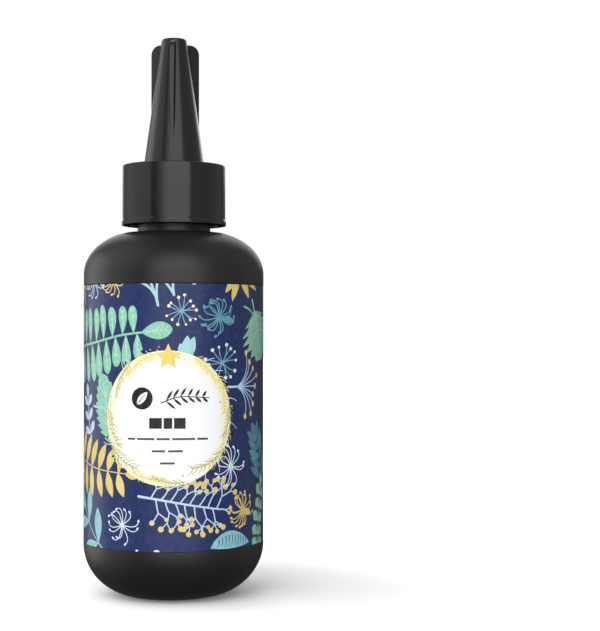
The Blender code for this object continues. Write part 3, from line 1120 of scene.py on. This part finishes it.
def draw_medallion(art):
    """The white disc with its wreath, flecks, star and plain mark."""
    art.disc("disc", MEDAL, MEDAL_R, 96)
    for start, end, width in ((100, 152, 2.0), (40, 0, 1.2), (236, 284, 1.3)):
        steps = int(abs(end - start) / 4)
        glow = [on_ring(start + (end - start) * i / steps, MEDAL_R - width * 0.6) for i in range(steps + 1)]
        art.stroke("glow", glow, width, width * 0.6)
    for row in WREATH:
        fir_arc(art, *row)
    for _ in range(56):
        angle = art.vary(0.0, 360.0)
        radius = MEDAL_R + art.random.gauss(-0.7, 1.1)
        colour = art.random.choice(("gold", "straw", "olive", "moss"))
        art.disc(colour, on_ring(angle, radius), art.vary(0.12, 0.26), 7)
    for angle in (112, 128, 141, 38, 27, 6, -12, -31, -46, 198, 213, 227):
        foot = on_ring(angle + art.vary(-4.0, 4.0), MEDAL_R + 0.35)
        tip = on_ring(angle, MEDAL_R + art.vary(1.0, 1.7))
        art.leaf("ebony", foot, tip, 0.6, 0.8, 0.0, 4)
    for angle in (118, 134, 56, 44, 17, -4, -22, -40, -55, 204, 219):
        start = on_ring(angle, MEDAL_R - 0.2)
        end = on_ring(angle - 5.0, MEDAL_R + art.vary(1.6, 2.6))
        art.stroke(art.random.choice(("white", "gold")), bend(start, end, 0.08, 3), 0.2, 0.12)
    star(art, (MEDAL[0] + 0.2, MEDAL[1] + MEDAL_R - 1.6), 3.2)
    draw_mark(art)


# Blank bars in place of words: height of the row from the disc's centre, of its bars, their widths and gap
BARS = (
    (-1.15, 2.5, (3.0, 2.0, 2.7), 0.4),
    (-4.8, 0.5, (1.9, 4.2, 3.1, 5.4, 2.6), 0.5),
    (-7.6, 0.5, (3.1, 3.4), 0.7),
    (-10.4, 0.5, (3.4,), 0.0),
)


def draw_mark(art):
    """A leaf in a round dot and a small sprig, above rows of blank bars."""
    u, z = MEDAL
    dot = Vector((u - 6.0, z + 4.6))
    stalk = Vector((0.85, 1.0))
    art.disc("black", dot, 2.6, 28)
    art.leaf("disc", dot - stalk * 1.5, dot + stalk * 1.5, 1.7, 0.95)
    art.stroke("black", [dot - stalk * 1.5, dot + stalk], 0.22, 0.12)
    line = smooth_line([(u - 1.4, z + 3.6), (u + 3.0, z + 5.0), (u + 10.0, z + 4.7)])
    for i in range(6):
        point, _ = along_line(line, 0.1 + 0.15 * i)
        for angle in (58.0, -40.0):
            art.leaf("black", point, point + heading(angle) * (2.9 - 0.22 * i), 0.62, 1.1)
    art.stroke("black", line, 0.3, 0.2)
    for drop, height, words, gap in BARS:
        left = u - (sum(words) + gap * (len(words) - 1)) / 2
        low = z + drop - height / 2
        top = low + height
        for width in words:
            right = left + width
            loop = [(left, low), (right, low), (right, top), (left, top)]
            art.paint("black" if height > 1 else "grey", loop)
            left += width + gap


def draw_front(art):
    """Plants round the disc on the label's front, back to front."""
    fern(art, [(-36.0, 60.2), (-29.0, 60.8), (-20.0, 61.8), (-11.5, 63.4), (-5.8, 64.1)], 10, 10.2, 2.5, 7.4)
    open_bud(art, (-1.8, 70.2), (((-6.6, 76.0), 0.16), ((-4.0, 76.6), 0.03), ((-1.9, 76.6), -0.05)))
    open_bud(art, (1.9, 72.7), (((-0.8, 76.4), 0.05), ((1.7, 76.4), -0.04)))
    spider(art, (-13.6, 76.0), 4.0, 14, "gold", 0.3)
    spider(art, (-21.0, 76.2), 4.6, 13, "blue", 0.3)
    spider(art, (-28.0, 75.6), 4.4, 13, "gold", 0.3)
    burst(art, (3.8, 69.1), 3.5, 13, "cream", 0.35)
    spider(art, (12.9, 67.8), 4.8, 17, "teal", 0.32, 66.0, 0.34, 0.9)
    art.leaf("teal", (13.3, 67.6), (17.2, 66.7), 1.8, 1.1)
    for tip, width in (((14.6, 73.4), 2.0), ((16.6, 71.4), 2.1), ((22.6, 72.2), 2.2), ((26.2, 74.2), 2.0)):
        art.leaf("gold", (19.0, 79.0), tip, width)
    serrated(art, (25.2, 69.4), (30.0, 57.5), 15.0, 7, 0.34)
    art.stroke("mint", bend((20.6, 70.3), (25.4, 67.7), 0.08, 4), 0.5, 0.45)
    crown_leaf(art, (4.8, 58.0), 5.4)
    burst(art, (13.8, 57.0), 4.2, 13, "white", 0.42)
    umbel(art, (18.2, 51.3), 0.0, 8.2, 9, 68.0)
    serrated(art, (-13.2, 37.4), (-17.4, 54.5), 9.0, 10)
    sprig(art, [(-22.0, 38.4), (-23.6, 43.2), (-24.4, 48.2)], 3, 3.9, 1.8, "blue", "white")
    art.stroke("ice", bend((-21.0, 46.7), (-15.0, 46.8), -0.06, 4), 0.55, 0.45)
    palm(art, [(-33.0, 34.6), (-27.4, 33.4), (-19.0, 31.9), (-10.0, 31.2)], 7, 8.6, 2.3, tilt=84.0)
    sprig(art, [(-16.0, 12.4), (-21.0, 16.4), (-25.8, 21.4)], 2, 8.2, 3.0, "teal_soft", "teal_pale",
          1.15, 50.0)
    sprig(art, [(-30.5, 18.0), (-31.0, 24.0), (-30.2, 29.6)], 3, 4.6, 2.0, "teal", "teal_pale", 1.1, 36.0)
    spider(art, (-10.8, 19.2), 4.7, 13, "white", 0.24, 70.0, 0.26, 0.9)
    berry_branch(art, [(-6.6, 26.1), (-1.6, 25.4), (6.6, 23.9), (13.0, 22.8)], 15, 3.0)
    spider(art, (16.2, 32.6), 5.0, 14, "white", 0.26, 60.0, 0.3, 0.8)
    art.disc("mint_pale", (16.2, 32.6), 0.8, 12)
    palm(art, [(30.2, 28.4), (28.6, 33.6), (25.6, 39.4)], 5, 7.2, 2.1, "teal_deep", "teal", 52.0)
    spider(art, (20.0, 22.1), 4.3, 18, "gold", 0.28, 58.0, 0.32, 0.75)
    art.leaf("gold", (19.8, 22.0), (23.4, 21.2), 1.7, 1.1)
    sprig(art, [(27.0, 11.0), (27.4, 18.0), (29.4, 26.4)], 5, 3.4, 2.7, "mint", "mint_pale", 1.3, 58.0)
    fan_leaf(art, (10.6, 13.8), (22.7, 14.2), 3.6, 10)
    spider(art, (-65.4, 23.0), 2.8, 11, "white", 0.28)
    art.disc("white", (-6.9, 13.45), 0.35, 10)
    art.disc("white", (-2.1, 13.1), 0.8, 12, 0.9)
    art.disc("white", (6.6, 75.9), 0.7, 10)


def draw_back(art):
    """The same kinds of plants round the sides and back."""
    berry_branch(art, [(-66.0, 68.5), (-58.0, 70.5), (-49.0, 69.8), (-42.5, 67.2)], 9, 2.8)
    spider(art, (-36.5, 70.8), 4.6, 15, "white", 0.3)
    serrated(art, (-41.0, 41.5), (-54.0, 55.5), 13.5, 13)
    umbel(art, (-60.5, 49.0), 176.0, 8.4, 8, 58.0)
    burst(art, (-37.2, 50.6), 4.2, 13, "white", 0.4)
    spider(art, (-63.0, 60.0), 4.2, 15, "gold", 0.3)
    palm(art, [(-66.0, 33.0), (-58.0, 35.6), (-50.0, 35.8), (-43.5, 33.8)], 6, 6.8, 2.0)
    spider(art, (-37.2, 24.6), 4.4, 16, "teal", 0.32, 70.0, 0.38)
    sprig(art, [(-62.0, 13.6), (-58.0, 18.6), (-52.5, 22.0)], 4, 5.4, 2.4, "teal_soft", "teal_pale",
          1.15, 50.0)
    burst(art, (-45.0, 17.6), 3.6, 12, "cream", 0.38)
    fan_leaf(art, (-48.0, 57.6), (-38.6, 60.8), 3.4, 9)
    fern(art, [(66.5, 52.4), (58.0, 56.2), (48.5, 58.4), (42.5, 58.8)], 8, 8.2, 2.4, 5.6)
    spider(art, (46.5, 70.6), 4.6, 16, "gold", 0.3)
    open_bud(art, (57.0, 68.6), (((52.6, 76.0), 0.16), ((56.0, 76.4), 0.03), ((59.6, 76.0), -0.12)))
    burst(art, (64.4, 66.6), 3.5, 13, "cream", 0.38)
    umbel(art, (38.6, 45.4), 8.0, 8.8, 8, 60.0)
    spider(art, (57.6, 41.2), 4.5, 16, "white", 0.3)
    palm(art, [(39.0, 33.6), (46.5, 31.6), (55.0, 31.6), (63.0, 34.2)], 7, 6.6, 2.0)
    berry_branch(art, [(40.0, 17.6), (47.5, 20.2), (56.0, 20.0), (62.5, 17.4)], 8, 2.6)
    crown_leaf(art, (37.2, 19.6), 6.0)
    sprig(art, [(66.6, 22.0), (65.6, 27.6), (66.0, 33.0)], 3, 4.6, 2.0, "teal", "teal_pale", 1.15, 40.0)
    spider(art, (38.4, 71.0), 3.0, 12, "white", 0.28)
    for place in ((-55.6, 62.6), (-50.5, 27.4), (36.6, 64.6), (50.4, 50.4), (64.8, 45.6), (-33.6, 36.2)):
        burst(art, place, 1.5, 7, "cream", 0.26, 0.16)


# The label's inks: display colour and depth of mottle.  The disc has an ink of its own.
INKS = {
    "navy": ((26, 43, 92), 0.015),
    "disc": None,
    "mint": ((132, 196, 168), 0.10),
    "mint_pale": ((186, 234, 206), 0.05),
    "teal": ((84, 146, 162), 0.08),
    "teal_deep": ((66, 128, 146), 0.08),
    "teal_dark": ((50, 84, 112), 0.05),
    "teal_soft": ((134, 196, 206), 0.09),
    "teal_pale": ((119, 168, 187), 0.06),
    "blue": ((186, 208, 234), 0.05),
    "blue_soft": ((160, 209, 214), 0.07),
    "ice": ((165, 205, 214), 0.05),
    "gold": ((224, 198, 106), 0.09),
    "star": ((232, 206, 100), 0.05),
    "straw": ((225, 206, 118), 0.07),
    "lime": ((235, 215, 110), 0.08),
    "glow": ((250, 245, 204), 0.04),
    "cream": ((248, 238, 190), 0.05),
    "olive": ((186, 170, 104), 0.08),
    "moss": ((150, 160, 70), 0.08),
    "white": ((215, 228, 242), 0.03),
    "black": ((24, 23, 26), 0.02),
    "ebony": ((14, 14, 20), 0.02),
    "grey": ((70, 70, 74), 0.03),
}


def cut_sheet(loops):
    """The flat sheet cut along closed loops: its points, its triangles and the loops over each."""
    points = []
    edges = []
    faces = []
    for loop in loops:
        area = sum(a[0] * b[1] - b[0] * a[1] for a, b in zip(loop, loop[1:] + loop[:1]))
        faces.append(list(range(len(points), len(points) + len(loop))))
        points.extend(Vector(point) for point in (loop if area > 0 else loop[::-1]))
    lines = int(2 * SHEET_HALF / RULING)
    for i in range(1, lines):
        u = -SHEET_HALF + 2 * SHEET_HALF * i / lines
        edges.append((len(points), len(points) + 1))
        points.extend((Vector((u, LABEL_LOW)), Vector((u, LABEL_TOP))))
    flat, _, triangles, _, _, owners = delaunay_2d_cdt(points, edges, faces, 1, 1e-5, True)
    return flat, triangles, owners


def turn_in(work, slot):
    """Gives the film its thickness: a rim that turns in from the sheet's edge."""
    rim = [edge for edge in work.edges if edge.is_boundary]
    inward = 1.0 - FILM_EDGE / LABEL_R
    for item in bmesh.ops.extrude_edge_only(work, edges=rim)["geom"]:
        if isinstance(item, bmesh.types.BMVert):
            item.co.x *= inward
            item.co.y *= inward
        elif isinstance(item, bmesh.types.BMFace):
            item.material_index = slot


def roll_sheet(flat, triangles, owners, printed):
    """The flat sheet rolled round the bottle, each face in the ink of the last loop over it."""
    work = bmesh.new()
    uv_layer = work.loops.layers.uv.new("sheet")
    verts = []
    for point in flat:
        angle = point.x / LABEL_R
        position = (LABEL_R * sin(angle) * MM, -LABEL_R * cos(angle) * MM, point.y * MM)
        verts.append(work.verts.new(position))
    for triangle, owner in zip(triangles, owners):
        if 0 not in owner:
            continue
        face = work.faces.new([verts[i] for i in triangle])
        face.material_index = printed[max(owner)]
        for loop, i in zip(face.loops, triangle):
            loop[uv_layer].uv = sheet_uv(flat[i].x, flat[i].y)
    bmesh.ops.delete(work, geom=[vert for vert in work.verts if not vert.link_faces], context="VERTS")
    return work


def print_label():
    """Prints the art on the flat sheet and rolls it round the bottle."""
    art = Art(ART_SEED)
    draw_front(art)
    draw_back(art)
    draw_medallion(art)
    half = SHEET_HALF
    sheet = [(-half, LABEL_LOW), (half, LABEL_LOW), (half, LABEL_TOP), (-half, LABEL_TOP)]
    flat, triangles, owners = cut_sheet([sheet, *[loop for _, loop in art.shapes]])
    slots = {name: i for i, name in enumerate(INKS)}
    printed = [slots[name] for name in ("navy", *[colour for colour, _ in art.shapes])]
    work = roll_sheet(flat, triangles, owners, printed)
    turn_in(work, slots["white"])

    mesh = bpy.data.meshes.new("label")
    work.to_mesh(mesh)
    work.free()
    mesh.shade_smooth()
    round_normals = [Vector((v.co.x, v.co.y, 0.0)).normalized() for v in mesh.vertices]
    mesh.normals_split_custom_set_from_vertices(round_normals)
    for name, look in INKS.items():
        mesh.materials.append(ink(name, *look) if look else disc_ink())
    label = add_object("label", mesh)
    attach(label, "bottle_body")
    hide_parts("wrap_label")


# ---------------------------------------------------------------- studio

def area_light(name, turn, rise, distance, width, height, radiance):
    """A soft box that faces the bottle.  turn is its angle from the camera's side, to the right."""
    data = bpy.data.lights.new(name, "AREA")
    data.shape = "RECTANGLE"
    data.size = width
    data.size_y = height
    data.energy = radiance * pi * width * height
    light = add_object(name, data)
    a = radians(turn)
    e = radians(rise)
    way = Vector((sin(a) * cos(e), -cos(a) * cos(e), sin(e)))
    light.location = AIM + distance * way
    light.rotation_mode = "QUATERNION"
    light.rotation_quaternion = (light.location - AIM).to_track_quat("Z", "Y")
    light.visible_camera = False
    return light


def light_only(light, *lit):
    """Keeps a light to the objects given."""
    receivers = bpy.data.collections.new("lit_by_" + light.name)
    for obj in lit:
        receivers.objects.link(obj)
    light.light_linking.receiver_collection = receivers


def make_world():
    """White to the camera.  What it lights sees soft boxes round a dim room, drawn by direction."""
    world = bpy.data.worlds.new("studio")
    bpy.context.scene.world = world
    world.use_nodes = True
    world.node_tree.nodes.clear()
    graph = Graph(world.node_tree)

    def ramp(value, start, end):
        """0 below start and 1 above end, in degrees, or the reverse where end is the smaller."""
        return graph.spread(value, 0.0, 1.0, radians(start), radians(end), "SMOOTHSTEP")

    def window(value, rise, fall):
        """1 between the end of rise and the start of fall, and 0 outside both."""
        return graph.math("MULTIPLY", ramp(value, *rise), graph.math("SUBTRACT", 1.0, ramp(value, *fall)))

    way = graph.add("SeparateXYZ", {"Vector": graph.add("TexCoord").outputs["Generated"]}).outputs
    turn = graph.math("ARCTAN2", way["X"], graph.math("MULTIPLY", way["Y"], -1.0))
    rise = graph.math("ARCSINE", way["Z"])
    away = graph.math("ABSOLUTE", turn)

    total = ROOM_LIGHT
    for angle, turn_in_at, turn_out_at, rise_in, rise_out, radiance in (
        (turn, (-40, -4), (38, 43), (-44, 14), (34, 76), 2.0),
        (turn, (-150, -92), (-53, -44), (-52, 5), (50, 85), 0.75),
        (turn, (-190, -182), (-150, -136), (-30, 5), (50, 85), 0.22),
        (turn, (36, 43), (118, 148), (-44, 0), (60, 90), 0.26),
        (away, (146, 166), (190, 200), (4, 9), (50, 80), 1.0),
        (away, (90, 150), (190, 200), (-100, -95), (-12, 4), -0.04),
    ):
        box = graph.math("MULTIPLY", window(angle, turn_in_at, turn_out_at), window(rise, rise_in, rise_out))
        total = graph.math("MULTIPLY_ADD", box, radiance, total)

    lit = graph.add("Background", {"Color": WHITE, "Strength": total}).outputs[0]
    seen = graph.add("Background", {"Color": WHITE}).outputs[0]
    to_camera = graph.add("LightPath").outputs["Is Camera Ray"]
    chosen = graph.add("MixShader", {0: to_camera, 1: lit, 2: seen}).outputs[0]
    graph.add("OutputWorld", {"Surface": chosen})


def make_floor():
    """A white floor that takes the bottle's soft shadow from a light of its own, and a painted shade round
    the bottle where its own glow is weaker.
    """
    work = bmesh.new()
    bmesh.ops.create_grid(work, x_segments=2, y_segments=2, size=FLOOR_SIZE)
    bmesh.ops.translate(work, verts=work.verts, vec=(0.0, 0.0, -FLOOR_DROP))
    floor = finish_mesh("floor", work)
    nodes = Nodes("floor_paper")
    # Painted glow and shade: the floor's emission is weaker near the bottle and stronger away from it.
    glow = nodes.spread(nodes.distance(nodes.place, SHADE_POOL_CENTRE), *FLOOR_GLOW_WITH_SHADE, *SHADE_POOL_REACH)
    nodes.set(Base_Color=(0.86, 0.86, 0.865), Roughness=nodes.spread(nodes.noise(40.0), 0.75, 0.85),
              Specular_IOR_Level=0.0, Emission_Color=WHITE, Emission_Strength=glow)
    dress(floor, nodes.material)
    floor.visible_glossy = False
    floor.visible_diffuse = False

    data = bpy.data.lights.new("overhead", "SUN")
    data.energy = SHADOW_SUN
    data.angle = SHADOW_SOFTNESS
    overhead = add_object("overhead", data)
    overhead.rotation_euler = SHADOW_WAY
    light_only(overhead, floor)


def make_camera():
    """The photograph's viewpoint: at mid-height, a little to the bottle's right."""
    data = bpy.data.cameras.new("camera")
    data.sensor_width = SENSOR
    data.lens = LENS
    data.clip_start = 0.01
    camera = add_object("camera", data)
    camera.location = CAMERA_PLACE
    camera.rotation_euler = (CAMERA_TILT, 0.0, 0.0)
    bpy.context.scene.camera = camera


def make_studio():
    """The room, the floor and three soft boxes that shine on the bottle or on parts of it."""
    make_world()
    make_floor()
    fill = area_light("fill", -24.0, 12.0, 1.0, 0.9, 1.2, 2.0)
    fill.visible_glossy = False
    side = area_light("side", -112.0, 4.0, 0.9, 0.7, 0.9, 1.0)
    light_only(side, *[bpy.data.objects[name] for name in ("bottle_shell", "label", "cap")])
    rim = area_light("rim", 152.0, 22.0, 0.9, 0.5, 0.45, 1.3)
    light_only(rim, bpy.data.objects["cap"])
    bpy.context.scene.view_settings.view_transform = "Standard"


# ---------------------------------------------------------------- the whole scene

make_camera()
make_shell(black_plastic("shell_black", 27, 0.33, 0.39, 0.000004, 0.00008))
make_collar(black_plastic("collar_black", 28, 0.11, 0.13, 0.0000002, 0.00001, COLLAR_LOW * MM))
make_cap(black_plastic("cap_black", 28, 0.20, 0.24, 0.0000015, 0.00002))
make_nozzle(natural_plastic())
print_label()
dress_node("resin_fill", liquid())
dress_node("foil_seal", foil())
dress_node("neck_gasket", soft_material("gasket_foam", (224, 222, 212), 2600.0, 0.00005, 0.85))
dress_node("tip_seal", soft_material("plug_rubber", (196, 198, 196), 3200.0, 0.00001, 0.55))
make_studio()
